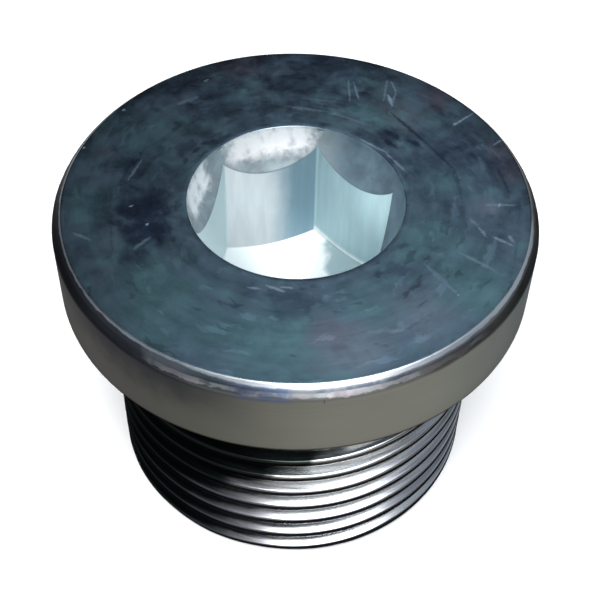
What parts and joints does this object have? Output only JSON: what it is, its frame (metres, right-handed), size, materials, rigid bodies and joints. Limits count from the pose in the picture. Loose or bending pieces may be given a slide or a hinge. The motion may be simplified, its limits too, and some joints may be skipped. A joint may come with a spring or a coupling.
{
  "type": "hex socket plug",
  "caption": "Round collared screw plug with a hexagon socket in its head and a fine metric thread, for closing a fluid port.",
  "frame": {"origin": "centre of the threaded end's flat face, at the bottom of the part as it stands", "axes": "+Z along the plug's axis from the threaded end to the socket; two corners of the hexagon lie along X"},
  "size_m": [0.027, 0.027, 0.0195],
  "materials": {
    "zinc_plated_steel": "bright zinc plate with a blue passivation, lightly scuffed"
  },
  "bodies": {
    "root": {"plug_body": "zinc_plated_steel"}
  },
  "joints": []
}
